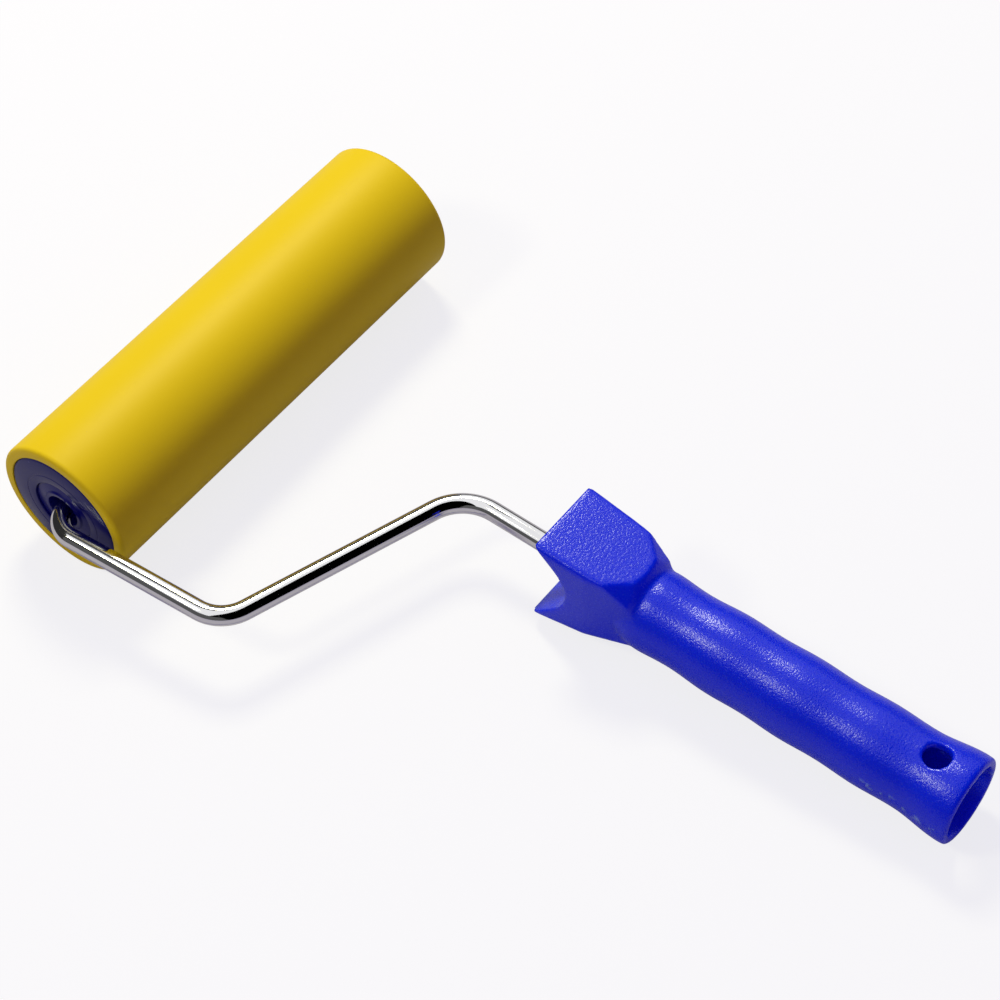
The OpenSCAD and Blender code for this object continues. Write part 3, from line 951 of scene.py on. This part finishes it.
# %% Group: tone drift
def build_tone():
    """A colour that drifts a little lighter and darker over the surface."""
    group, given, result = new_group(
        "tone_drift",
        [("Vector", VECTOR, None), ("Colour", COLOUR, (0.5, 0.5, 0.5, 1)),
         ("Scale", FLOAT, 40.0), ("Amount", FLOAT, 0.08)],
        [("Colour", COLOUR)],
    )
    cloud = noise(group, Detail=3.0)
    centre = maths(group, "SUBTRACT", 0.5)
    size = maths(group, "MULTIPLY")
    level = maths(group, "ADD", 1.0)
    shade = node(group, "ShaderNodeVectorMath", operation="SCALE")
    join(group, [
        (given, "Vector", cloud, "Vector"), (given, "Scale", cloud, "Scale"),
        (cloud, "Fac", centre, 0), (centre, 0, size, 0), (given, "Amount", size, 1),
        (size, 0, level, 0), (given, "Colour", shade, 0), (level, 0, shade, "Scale"),
        (shade, 0, result, "Colour"),
    ])
    return group


# %% Group: hair scratches
def build_scratches():
    """A mask of thin scratches that run mostly one way."""
    group, given, result = new_group(
        "hair_scratches",
        [("Vector", VECTOR, None), ("Scale", FLOAT, 400.0), ("Stretch", VECTOR, (1, 0.04, 1)),
         ("Cover", FLOAT, 0.3)],
        [("Mask", FLOAT)],
    )
    pull = node(group, "ShaderNodeVectorMath", operation="MULTIPLY")
    lines = noise(group, Detail=4.0, Roughness=0.7)
    thin = ramp(group, 0.6, 0.75)
    patch = noise(group, Scale=60.0, Detail=1.0)
    where = ramp(group, 0.45, 0.65)
    both = maths(group, "MULTIPLY")
    cover = maths(group, "MULTIPLY")
    join(group, [
        (given, "Vector", pull, 0), (given, "Stretch", pull, 1), (pull, 0, lines, "Vector"),
        (given, "Scale", lines, "Scale"), (lines, "Fac", thin, "Value"),
        (given, "Vector", patch, "Vector"), (patch, "Fac", where, "Value"),
        (thin, "Result", both, 0), (where, "Result", both, 1), (both, 0, cover, 0),
        (given, "Cover", cover, 1), (cover, 0, result, "Mask"),
    ])
    return group


# %% Group: dust specks
def build_dust():
    """A mask of small scattered specks."""
    group, given, result = new_group(
        "dust_specks",
        [("Vector", VECTOR, None), ("Scale", FLOAT, 300.0), ("Size", FLOAT, 0.12)],
        [("Mask", FLOAT)],
    )
    cells = node(group, "ShaderNodeTexVoronoi", Randomness=1.0)
    edge = maths(group, "LESS_THAN")
    rare = noise(group, Scale=90.0, Detail=0.0)
    where = ramp(group, 0.55, 0.7)
    both = maths(group, "MULTIPLY")
    join(group, [
        (given, "Vector", cells, "Vector"), (given, "Scale", cells, "Scale"),
        (cells, "Distance", edge, 0), (given, "Size", edge, 1), (given, "Vector", rare, "Vector"),
        (rare, "Fac", where, "Value"), (edge, 0, both, 0), (where, "Result", both, 1),
        (both, 0, result, "Mask"),
    ])
    return group


GRAIN, TONE, SCRATCHES, DUST = build_grain(), build_tone(), build_scratches(), build_dust()


# %% Group: parting flash
def build_flash():
    """A thin line where the mould halves met, with torn patches of flash towards the rear."""
    group, given, result = new_group(
        "parting_flash",
        [("Vector", VECTOR, None), ("Width", FLOAT, 0.0002), ("Spread", FLOAT, 0.002),
         ("Patches_Behind", FLOAT, -0.232), ("Scale", FLOAT, 330.0)],
        [("Line", FLOAT), ("Patch", FLOAT)],
    )
    parts = node(group, "ShaderNodeSeparateXYZ")
    level = maths(group, "ABSOLUTE")
    line = ramp(group, first=1.0, last=0.0)
    near = ramp(group, first=1.0, last=0.0)
    behind = maths(group, "LESS_THAN")
    torn = noise(group, Detail=4.0, Roughness=0.65)
    sharp = ramp(group, 0.54, 0.62)
    local = maths(group, "MULTIPLY")
    patch = maths(group, "MULTIPLY")
    join(group, [
        (given, "Vector", parts, 0), (given, "Vector", torn, "Vector"),
        (given, "Scale", torn, "Scale"), (parts, "Z", level, 0), (level, 0, line, "Value"),
        (given, "Width", line, "From Max"), (level, 0, near, "Value"),
        (given, "Spread", near, "From Max"), (parts, "Y", behind, 0),
        (given, "Patches_Behind", behind, 1), (torn, "Fac", sharp, "Value"),
        (near, "Result", local, 0), (behind, 0, local, 1), (local, 0, patch, 0),
        (sharp, "Result", patch, 1), (line, "Result", result, "Line"), (patch, 0, result, "Patch"),
    ])
    return group


FLASH = build_flash()


# %% Helper: start a material and place a group in it
def start_material(name, **settings):
    """A new material, with its tree, its shader and the place of each point on the piece."""
    material = bpy.data.materials.new(name)
    material.use_nodes = True
    tree = material.node_tree
    shader = tree.nodes["Principled BSDF"]
    for key, value in settings.items():
        shader.inputs[key.replace("_", " ")].default_value = value
    where = tree.nodes.new("ShaderNodeTexCoord").outputs["Object"]
    return material, tree, shader, where


def place_group(tree, group, where, **values):
    """One shared effect in a material, with its own sizes."""
    placed = tree.nodes.new("ShaderNodeGroup")
    placed.node_tree = group
    tree.links.new(where, placed.inputs["Vector"])
    for key, value in values.items():
        placed.inputs[key].default_value = value
    return placed


def mix_colour(tree, mask, under, over):
    """Lays the colour over on the socket under, by the mask."""
    mix = node(tree, "ShaderNodeMix", data_type="RGBA")
    tree.links.new(mask, mix.inputs[0])
    tree.links.new(under, mix.inputs[6])
    mix.inputs[7].default_value = over
    return mix.outputs[2]


def mix_value(tree, mask, low, high):
    """Goes from the low value to the high one as the mask goes from 0 to 1."""
    mix = ramp(tree, first=low, last=high)
    tree.links.new(mask, mix.inputs["Value"])
    return mix.outputs["Result"]


def add_bump(tree, shader, height, distance, strength=1.0, after=None):
    """Relief from a height, laid over an earlier one if there is one."""
    bump = tree.nodes.new("ShaderNodeBump")
    bump.inputs["Distance"].default_value = distance
    bump.inputs["Strength"].default_value = strength
    tree.links.new(height, bump.inputs["Height"])
    if after:
        tree.links.new(after, bump.inputs["Normal"])
    tree.links.new(bump.outputs["Normal"], shader.inputs["Normal"])
    return bump.outputs["Normal"]


def wear(piece, material):
    piece.data.materials.clear()
    piece.data.materials.append(material)
    print("%s wears %s" % (piece.name, material.name))


# %% [markdown]
# ## Yellow rubber
# Ground rubber is satin: a broad, soft highlight, with very faint lines round the roller that the
# grinding wheel left, and a few specks of dust that soft rubber always picks up.

# %% Yellow rubber
def yellow_rubber():
    material, tree, shader, where = start_material("yellow_rubber", Specular_IOR_Level=0.15)
    tone = place_group(tree, TONE, where, Colour=paint(236, 206, 12), Scale=28.0, Amount=0.05)
    dust = place_group(tree, DUST, where, Scale=700.0, Size=0.1)
    colour = mix_colour(tree, dust.outputs["Mask"], tone.outputs["Colour"], paint(226, 196, 48))
    tree.links.new(colour, shader.inputs["Base Color"])
    grain = place_group(tree, GRAIN, where, Scale=2600.0, Coarse=0.5)
    lines = place_group(tree, SCRATCHES, where, Scale=1500.0, Stretch=(1, 0.05, 0.05), Cover=1.0)
    tree.links.new(mix_value(tree, lines.outputs["Mask"], 0.47, 0.56), shader.inputs["Roughness"])
    soft = add_bump(tree, shader, grain.outputs["Height"], 0.00006, 0.35)
    add_bump(tree, shader, lines.outputs["Mask"], 0.00002, 0.3, after=soft)
    return material


wear(rubber_cover, yellow_rubber())


# %% [markdown]
# ## Navy plastic
# The caps and bushes are glossy polypropylene in dark blue. Gloss shows every handling mark, so the
# roughness carries fine scratches and the colour a little dust.

# %% Navy plastic
def navy_plastic(name, colour, roughness):
    material, tree, shader, where = start_material(name, Specular_IOR_Level=0.22)
    tone = place_group(tree, TONE, where, Colour=colour, Scale=60.0, Amount=0.14)
    dust = place_group(tree, DUST, where, Scale=520.0, Size=0.13)
    dusty = mix_colour(tree, dust.outputs["Mask"], tone.outputs["Colour"], paint(70, 70, 120))
    tree.links.new(dusty, shader.inputs["Base Color"])
    marks = place_group(tree, SCRATCHES, where, Scale=900.0, Stretch=(1, 1, 0.06), Cover=1.0)
    rough = mix_value(tree, marks.outputs["Mask"], roughness, roughness + 0.2)
    tree.links.new(rough, shader.inputs["Roughness"])
    grain = place_group(tree, GRAIN, where, Scale=1300.0, Coarse=0.6)
    add_bump(tree, shader, grain.outputs["Height"], 0.00004, 0.3)
    return material


CAP_NAVY = navy_plastic("cap_navy_plastic", paint(7, 7, 88), 0.3)
BUSH_NAVY = navy_plastic("bush_navy_plastic", paint(9, 9, 96), 0.3)
for piece in (near_cap_moulding, far_cap_moulding, plug_moulding):
    wear(piece, CAP_NAVY)
for piece in (near_bush_moulding, far_bush_moulding):
    wear(piece, BUSH_NAVY)


# %% [markdown]
# ## Chromed wire and small steel parts
# Chrome is a mirror, so its look comes from the room. Its base is a nearly neutral grey, with fine
# wiping scratches in the roughness and the slight waviness of drawn wire under the plating.

# %% Chrome and steel
def plated_metal(name, colour, roughness):
    material, tree, shader, where = start_material(name, Metallic=1.0)
    tone = place_group(tree, TONE, where, Colour=colour, Scale=90.0, Amount=0.06)
    tree.links.new(tone.outputs["Colour"], shader.inputs["Base Color"])
    marks = place_group(tree, SCRATCHES, where, Scale=700.0, Stretch=(0.3, 0.3, 1), Cover=1.0)
    rough = mix_value(tree, marks.outputs["Mask"], roughness, roughness + 0.16)
    tree.links.new(rough, shader.inputs["Roughness"])
    waves = place_group(tree, GRAIN, where, Scale=260.0, Coarse=0.8)
    add_bump(tree, shader, waves.outputs["Height"], 0.00006, 0.12)
    return material


WIRE_CHROME = plated_metal("wire_chrome_plate", paint(228, 228, 230), 0.07)
WASHER_STEEL = plated_metal("washer_steel_bare", paint(196, 197, 196), 0.28)
SPRING_STEEL = plated_metal("spring_steel_dark", paint(128, 126, 124), 0.34)
wear(bent_wire, WIRE_CHROME)
wear(frame["nodes"]["near_thrust_washer"], WASHER_STEEL)
wear(frame["nodes"]["far_thrust_washer"], WASHER_STEEL)
wear(frame["nodes"]["push_nut"], SPRING_STEEL)


# %% [markdown]
# ## Grey tube
# The tube under the rubber is extruded plastic, hidden between the rubber and the caps. Fine drawing
# lines run along it.

# %% Grey tube
def grey_tube():
    material, tree, shader, where = start_material("tube_grey_plastic")
    tone = place_group(tree, TONE, where, Colour=paint(188, 188, 182), Scale=50.0, Amount=0.1)
    tree.links.new(tone.outputs["Colour"], shader.inputs["Base Color"])
    lines = place_group(tree, SCRATCHES, where, Scale=1200.0, Stretch=(0.03, 1, 1), Cover=1.0)
    tree.links.new(mix_value(tree, lines.outputs["Mask"], 0.5, 0.65), shader.inputs["Roughness"])
    add_bump(tree, shader, lines.outputs["Mask"], 0.00004, 0.4)
    return material


wear(frame["nodes"]["core_tube"], grey_tube())


# %% [markdown]
# ## Blue handle plastic
# The handle's mould was spark-eroded, so the plastic has a fine matt grain that breaks its highlights
# into sparkling specks. Its colour is a strong blue, a little uneven in depth, and light sinks in a
# short way and comes out bluer. The mould closed halfway up the handle and left a fine line there,
# with torn bits of flash near the rear. The line is level with the tool's own frame, so a Mapping node
# turns the coordinates back into that frame first.

# %% Blue handle plastic
def handle_plastic():
    material, tree, shader, where = start_material(
        "handle_blue_plastic", Specular_IOR_Level=0.38, Subsurface_Weight=0.4,
        Subsurface_Radius=(0.1, 0.3, 1.0), Subsurface_Scale=0.006,
    )
    flat = node(tree, "ShaderNodeMapping", vector_type="TEXTURE")
    flat.inputs["Location"].default_value = roller_middle
    flat.inputs["Rotation"].default_value = (slope, 0, 0)
    tree.links.new(where, flat.inputs["Vector"])
    flash = place_group(tree, FLASH, flat.outputs[0])
    tone = place_group(tree, TONE, where, Colour=paint(4, 40, 226), Scale=45.0, Amount=0.12)
    dust = place_group(tree, DUST, where, Scale=700.0, Size=0.1)
    dusty = mix_colour(tree, dust.outputs["Mask"], tone.outputs["Colour"], paint(60, 76, 214))
    torn = mix_colour(tree, flash.outputs["Patch"], dusty, paint(120, 150, 226))
    tree.links.new(torn, shader.inputs["Base Color"])
    grain = place_group(tree, GRAIN, where, Scale=1500.0, Coarse=0.1)
    rough = mix_value(tree, grain.outputs["Speckle"], 0.2, 0.38)
    tree.links.new(rough, shader.inputs["Roughness"])
    soft = add_bump(tree, shader, grain.outputs["Height"], 0.00013, 1.0)
    line = add_bump(tree, shader, flash.outputs["Line"], 0.00006, 0.6, after=soft)
    add_bump(tree, shader, flash.outputs["Patch"], 0.0002, 0.8, after=line)
    return material


wear(handle_moulding, handle_plastic())


# %% [markdown]
# ## Floor, light and background
# The tool stands on a plain pale floor. The floor is white to the camera, but keeps the soft shadow,
# because only part of what the camera sees is glow and the rest is lit. Two small lamps behind the
# tool shade the rubber from bright to dark and draw narrow streaks on the blue grip. They are warm and
# the fill from the room is cool, so lit faces come out near neutral while shade turns blue, as in the
# photograph. Dark cards that only mirrors can see put the black bands into the chrome.

# %% Floor and world
FLOOR_BOUNCE = 0.5
FLOOR_SEEN = 0.9
GLOW_MIRRORED = 0.08
GLOW_SEEN = 0.8


def ray_masks(tree):
    """Two masks: the camera's own rays, and those together with mirrored and refracted ones."""
    path = tree.nodes.new("ShaderNodeLightPath")
    either = maths(tree, "MAXIMUM")
    any_of = maths(tree, "MAXIMUM")
    join(tree, [
        (path, "Is Camera Ray", either, 0), (path, "Is Glossy Ray", either, 1),
        (either, 0, any_of, 0), (path, "Is Transmission Ray", any_of, 1),
    ])
    return path.outputs["Is Camera Ray"], any_of.outputs[0]


def mix_shaders(tree, mask, first, second):
    mix = node(tree, "ShaderNodeMixShader")
    tree.links.new(mask, mix.inputs[0])
    tree.links.new(first.outputs[0], mix.inputs[1])
    tree.links.new(second.outputs[0], mix.inputs[2])
    return mix


def grey(level):
    return (level, level, level, 1)


def bare_material(name):
    """A material whose tree is still empty."""
    material = bpy.data.materials.new(name)
    material.use_nodes = True
    material.node_tree.nodes.clear()
    return material, material.node_tree


def pale_floor():
    material, tree = bare_material("pale_floor")
    from_camera, seen_at_all = ray_masks(tree)
    lit = node(tree, "ShaderNodeBsdfDiffuse", Color=grey(FLOOR_BOUNCE))
    pale = node(tree, "ShaderNodeBsdfDiffuse", Color=grey(FLOOR_SEEN))
    glow = node(tree, "ShaderNodeEmission", Color=grey(1), Strength=1.0)
    own = mix_shaders(tree, from_camera, lit, pale)
    seen = mix_shaders(tree, mix_value(tree, from_camera, GLOW_MIRRORED, GLOW_SEEN), own, glow)
    choose = mix_shaders(tree, seen_at_all, lit, seen)
    out = tree.nodes.new("ShaderNodeOutputMaterial")
    tree.links.new(choose.outputs[0], out.inputs["Surface"])
    return material


bpy.ops.object.select_all(action="DESELECT")
bpy.ops.mesh.primitive_plane_add(size=8, location=(0, 0, -0.00005))
floor = newest("studio_floor")
wear(floor, pale_floor())

WORLD_FILL = (0.16, 0.11, 0.45, 1)
world = bpy.data.worlds.new("studio_world")
bpy.context.scene.world = world
world.use_nodes = True
sky = world.node_tree
sky.nodes.clear()
fill_light = node(sky, "ShaderNodeBackground", Color=WORLD_FILL, Strength=1.0)
white = node(sky, "ShaderNodeBackground", Color=grey(1), Strength=1.0)
sky_mix = mix_shaders(sky, ray_masks(sky)[1], fill_light, white)
sky_out = sky.nodes.new("ShaderNodeOutputWorld")
sky.links.new(sky_mix.outputs[0], sky_out.inputs["Surface"])
print("world: fill", WORLD_FILL[:3], "and white where it is seen")


# %% Lamps and cards
LAMP_TINT = (1, 0.98, 0.64)
LAMPS_AIM = Vector((0, 0, 0.02))


def soft_lamp(name, power, size, at):
    data = bpy.data.lights.new(name, "AREA")
    data.energy = power
    data.color = LAMP_TINT
    data.shape = "SQUARE"
    data.size = size
    lamp = bpy.data.objects.new(name, data)
    bpy.context.scene.collection.objects.link(lamp)
    lamp.location = at
    lamp.rotation_euler = (LAMPS_AIM - Vector(at)).to_track_quat("-Z", "Y").to_euler()
    print("%s: %.0f W, %.1f m square" % (name, power, size))


soft_lamp("key_lamp", 10.0, 0.3, (0.5, 0.56, 0.98))
soft_lamp("side_lamp", 4.0, 0.2, (-0.62, 0.46, 0.94))


def dark_card(name, corners_at, level=0.0):
    """A flat card that only mirrored rays can see."""
    card = draw(name, corners_at, closed=True)
    material, tree = bare_material(name + "_black")
    dark = node(tree, "ShaderNodeEmission", Color=grey(1), Strength=level)
    out = tree.nodes.new("ShaderNodeOutputMaterial")
    tree.links.new(dark.outputs[0], out.inputs["Surface"])
    wear(card, material)
    for ray in ("camera", "diffuse", "shadow", "transmission"):
        setattr(card, "visible_" + ray, False)
    print(name, "glows at", level)


dark_card("front_card", [(-1.3, -0.9, 0), (1.3, -0.9, 0), (1.3, -0.12, 0.95), (-1.3, -0.12, 0.95)])
dark_card("top_card", [
    (0.06, 0.32, 0.96), (0.28, 0.32, 0.96), (0.14, 0.75, 0.96), (-0.45, 0.75, 0.96)], 0.1)
dark_card("left_card", [(-0.95, -1.2, 0), (-0.95, 1.2, 0), (-0.8, 1.2, 0.6), (-0.8, -1.2, 0.6)], 0.1)
dark_card("right_card", [(1.1, -1.2, 0), (1.1, 1.4, 0), (1.1, 1.4, 0.5), (1.1, -1.2, 0.5)], 0.12)
dark_card("gable_card", [
    (-1.2, 0.62, 0), (0.15, 0.62, 0), (0.15, 0.62, 0.98), (-1.2, 0.62, 0.98)], 0.03)
dark_card("rear_card", [(-1.2, 1.3, 0), (1.6, 1.3, 0), (1.6, 1.3, 1.4), (-1.2, 1.3, 1.4)], 0.1)


# %% Sizes and finish
scene = bpy.context.scene
scene.view_settings.view_transform = "Standard"
